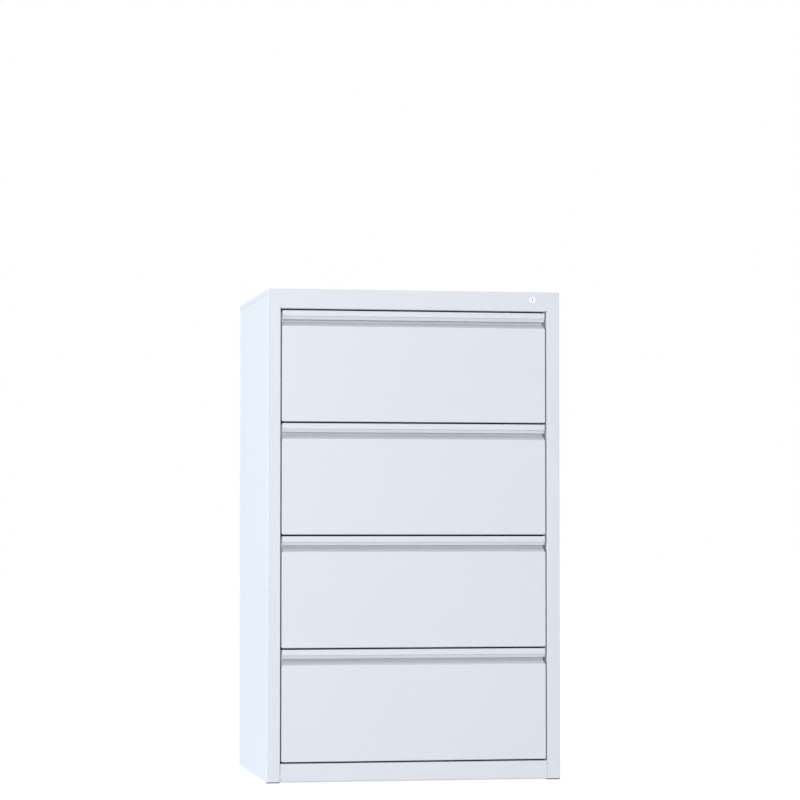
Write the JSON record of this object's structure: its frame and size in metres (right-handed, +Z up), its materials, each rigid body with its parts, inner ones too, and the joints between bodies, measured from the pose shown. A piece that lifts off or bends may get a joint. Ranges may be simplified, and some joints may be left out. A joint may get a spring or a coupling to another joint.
{
  "type": "filing cabinet",
  "caption": "Freestanding white sheet-steel filing cabinet, double width, with full-width recessed grips, telescopic drawers for hanging files and a cylinder lock on the top rail.",
  "frame": {"origin": "on the floor, under the middle of the footprint", "axes": "+Z up, the drawer fronts face -Y, +X to the cabinet's right as seen from the front"},
  "size_m": [0.8, 0.6242, 1.321],
  "materials": {
    "white_paint": "powder coat, satin, cool white",
    "zinc_steel": "zinc-plated",
    "slide_steel": "bright zinc-plated, lightly greased",
    "black_plastic": "moulded, matt",
    "black_rubber": "moulded, matt",
    "lock_face": "gloss, white",
    "lock_core": "nickel-plated, satin"
  },
  "bodies": {
    "cabinet": {"side_panel_right": "white_paint", "side_panel_left": "white_paint", "top_panel": "white_paint", "top_rail": "white_paint", "plinth_rail": "white_paint", "back_panel": "white_paint", "base_pan": "white_paint", "front_upright_right": "zinc_steel", "front_upright_left": "zinc_steel", "rear_upright_right": "zinc_steel", "rear_upright_left": "zinc_steel", "foot_brackets": "zinc_steel", "levelling_feet": "black_plastic", "back_screws": "zinc_steel", "lock_bar_guides": "black_plastic", "lock_housing": "lock_face", "lock_nut": "zinc_steel", "slide_outer_1": "slide_steel", "slide_outer_2": "slide_steel", "slide_outer_3": "slide_steel", "slide_outer_4": "slide_steel"},
    "drawer_1": {"drawer_front_1": "white_paint", "front_liner_1": "white_paint", "tray_1": "white_paint", "tray_back_1": "white_paint", "file_rails_1": "zinc_steel", "buffers_1": "black_rubber", "lock_catch_1": "zinc_steel", "slide_inner_1": "slide_steel"},
    "slide_mid_1": {"slide_middle_1": "slide_steel"},
    "drawer_2": {"drawer_front_2": "white_paint", "front_liner_2": "white_paint", "tray_2": "white_paint", "tray_back_2": "white_paint", "file_rails_2": "zinc_steel", "buffers_2": "black_rubber", "lock_catch_2": "zinc_steel", "slide_inner_2": "slide_steel"},
    "slide_mid_2": {"slide_middle_2": "slide_steel"},
    "drawer_3": {"drawer_front_3": "white_paint", "front_liner_3": "white_paint", "tray_3": "white_paint", "tray_back_3": "white_paint", "file_rails_3": "zinc_steel", "buffers_3": "black_rubber", "lock_catch_3": "zinc_steel", "slide_inner_3": "slide_steel"},
    "slide_mid_3": {"slide_middle_3": "slide_steel"},
    "drawer_4": {"drawer_front_4": "white_paint", "front_liner_4": "white_paint", "tray_4": "white_paint", "tray_back_4": "white_paint", "file_rails_4": "zinc_steel", "buffers_4": "black_rubber", "lock_catch_4": "zinc_steel", "slide_inner_4": "slide_steel"},
    "slide_mid_4": {"slide_middle_4": "slide_steel"},
    "lock_barrel": {"lock_core": "lock_core", "lock_cam": "zinc_steel"},
    "locking_bar": {"lock_bar": "zinc_steel"}
  },
  "joints": [
    {"name": "drawer_slide_1", "type": "slide", "parent": "cabinet", "child": "drawer_1", "axis": [0, -1, 0], "range_m": [0, 0.55]},
    {"name": "drawer_slide_2", "type": "slide", "parent": "cabinet", "child": "drawer_2", "axis": [0, -1, 0], "range_m": [0, 0.55]},
    {"name": "drawer_slide_3", "type": "slide", "parent": "cabinet", "child": "drawer_3", "axis": [0, -1, 0], "range_m": [0, 0.55]},
    {"name": "drawer_slide_4", "type": "slide", "parent": "cabinet", "child": "drawer_4", "axis": [0, -1, 0], "range_m": [0, 0.55]},
    {"name": "slide_mid_travel_1", "type": "slide", "parent": "cabinet", "child": "slide_mid_1", "axis": [0, -1, 0], "range_m": [0, 0.275]},
    {"name": "slide_mid_travel_2", "type": "slide", "parent": "cabinet", "child": "slide_mid_2", "axis": [0, -1, 0], "range_m": [0, 0.275]},
    {"name": "slide_mid_travel_3", "type": "slide", "parent": "cabinet", "child": "slide_mid_3", "axis": [0, -1, 0], "range_m": [0, 0.275]},
    {"name": "slide_mid_travel_4", "type": "slide", "parent": "cabinet", "child": "slide_mid_4", "axis": [0, -1, 0], "range_m": [0, 0.275]},
    {"name": "locking_bar_lift", "type": "slide", "parent": "cabinet", "child": "locking_bar", "axis": [0, 0, 1], "range_m": [0, 0.01414]},
    {"name": "lock_turn", "type": "hinge", "parent": "cabinet", "child": "lock_barrel", "pos_m": [0.326, -0.311, 1.3], "axis": [0, -1, 0], "range_deg": [0, 90]}
  ],
  "couplings": [
    {"joint": "slide_mid_travel_1", "follows": "drawer_slide_1", "ratio": 0.5},
    {"joint": "slide_mid_travel_2", "follows": "drawer_slide_2", "ratio": 0.5},
    {"joint": "slide_mid_travel_3", "follows": "drawer_slide_3", "ratio": 0.5},
    {"joint": "slide_mid_travel_4", "follows": "drawer_slide_4", "ratio": 0.5},
    {"joint": "lock_turn", "follows": "locking_bar_lift", "rad_per_m": 111.07}
  ]
}
